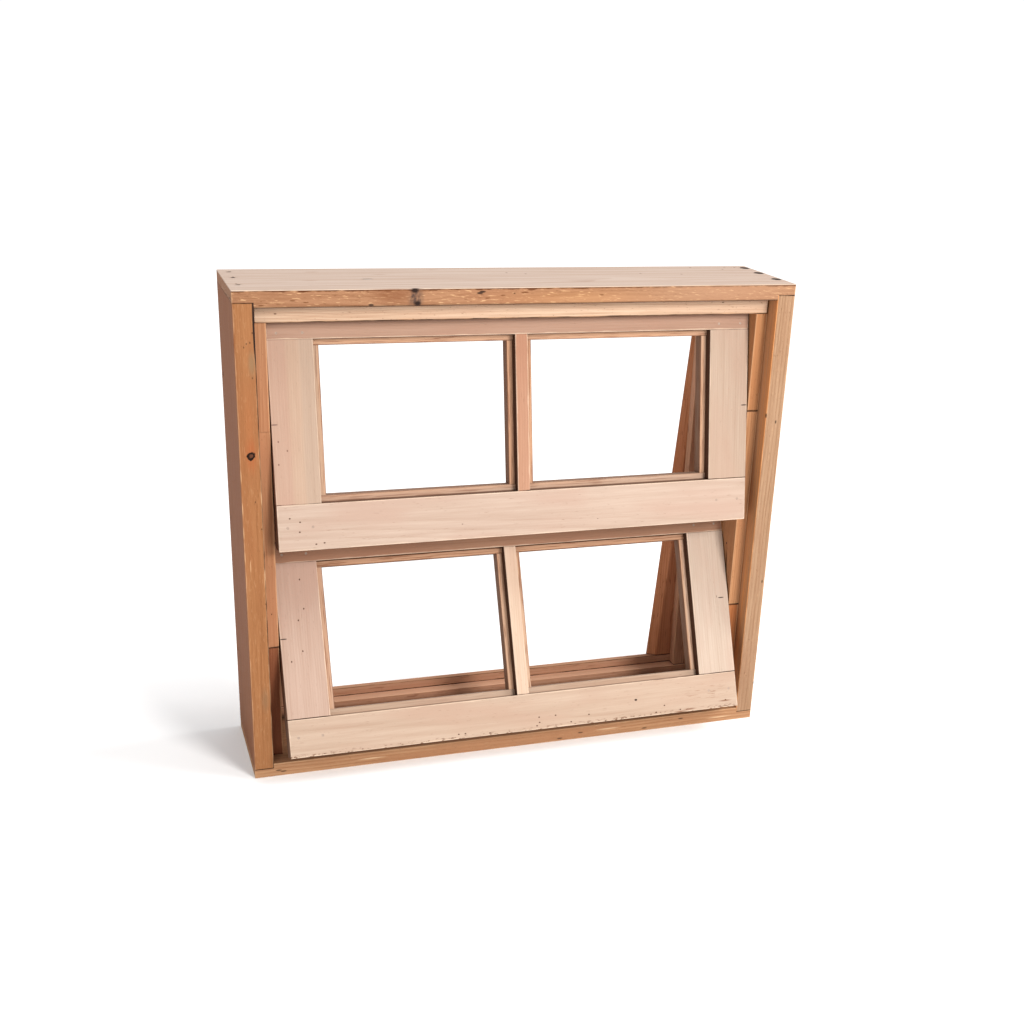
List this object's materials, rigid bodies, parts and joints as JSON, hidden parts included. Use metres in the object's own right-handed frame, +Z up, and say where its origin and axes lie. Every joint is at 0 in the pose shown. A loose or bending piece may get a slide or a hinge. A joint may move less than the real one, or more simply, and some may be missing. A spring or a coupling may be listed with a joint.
{
  "type": "sash window",
  "caption": "Timber box frame window whose upper and lower sashes each tilt on side pins, with open panes split by a glazing bar and no glass.",
  "frame": {"origin": "centre of the underside of the sill, midway across the width and midway through the depth of the frame", "axes": "+X along the width of the window, to the right when seen from outside; +Y from the outside face to the room side; +Z up"},
  "size_m": [0.7, 0.1877, 0.613],
  "materials": {
    "frame_timber": "bare planed softwood, orange tan, with knots and handling marks",
    "sash_timber": "bare planed softwood, pale pinkish beige, fine straight grain",
    "stop_timber": "bare planed softwood, light tan",
    "lining_timber": "bare softwood, dark reddish brown",
    "nail_steel": "dull dark steel"
  },
  "bodies": {
    "frame": {"head": "frame_timber", "sill": "frame_timber", "jamb_left": "frame_timber", "jamb_right": "frame_timber", "head_stop": "stop_timber", "stop_left_top": "stop_timber", "stop_left_middle": "stop_timber", "stop_left_bottom": "stop_timber", "stop_right_top": "stop_timber", "stop_right_middle": "stop_timber", "stop_right_bottom": "stop_timber", "lining_bottom": "lining_timber", "lining_top": "lining_timber", "lining_left": "lining_timber", "lining_right": "lining_timber", "batten_bottom": "lining_timber", "batten_top": "lining_timber", "batten_left": "lining_timber", "batten_right": "lining_timber", "frame_nails": "nail_steel", "batten_nails": "nail_steel", "lining_brads": "nail_steel", "stop_brads": "nail_steel"},
    "upper_sash": {"upper_top_rail": "sash_timber", "upper_bottom_rail": "sash_timber", "upper_stile_left": "sash_timber", "upper_stile_right": "sash_timber", "upper_glazing_bar": "sash_timber", "upper_brads": "nail_steel", "upper_pivot_pins": "nail_steel"},
    "lower_sash": {"lower_top_rail": "sash_timber", "lower_bottom_rail": "sash_timber", "lower_stile_left": "sash_timber", "lower_stile_right": "sash_timber", "lower_glazing_bar": "sash_timber", "lower_brads": "nail_steel", "lower_pivot_pins": "nail_steel"}
  },
  "joints": [
    {"name": "upper_sash_tilt", "type": "hinge", "parent": "frame", "child": "upper_sash", "pos_m": [0, -0.038, 0.451], "axis": [-1, 0, 0], "range_deg": [-9.4, 30.6]},
    {"name": "lower_sash_tilt", "type": "hinge", "parent": "frame", "child": "lower_sash", "pos_m": [0, -0.038, 0.175], "axis": [-1, 0, 0], "range_deg": [-23.6, 16.4]}
  ]
}
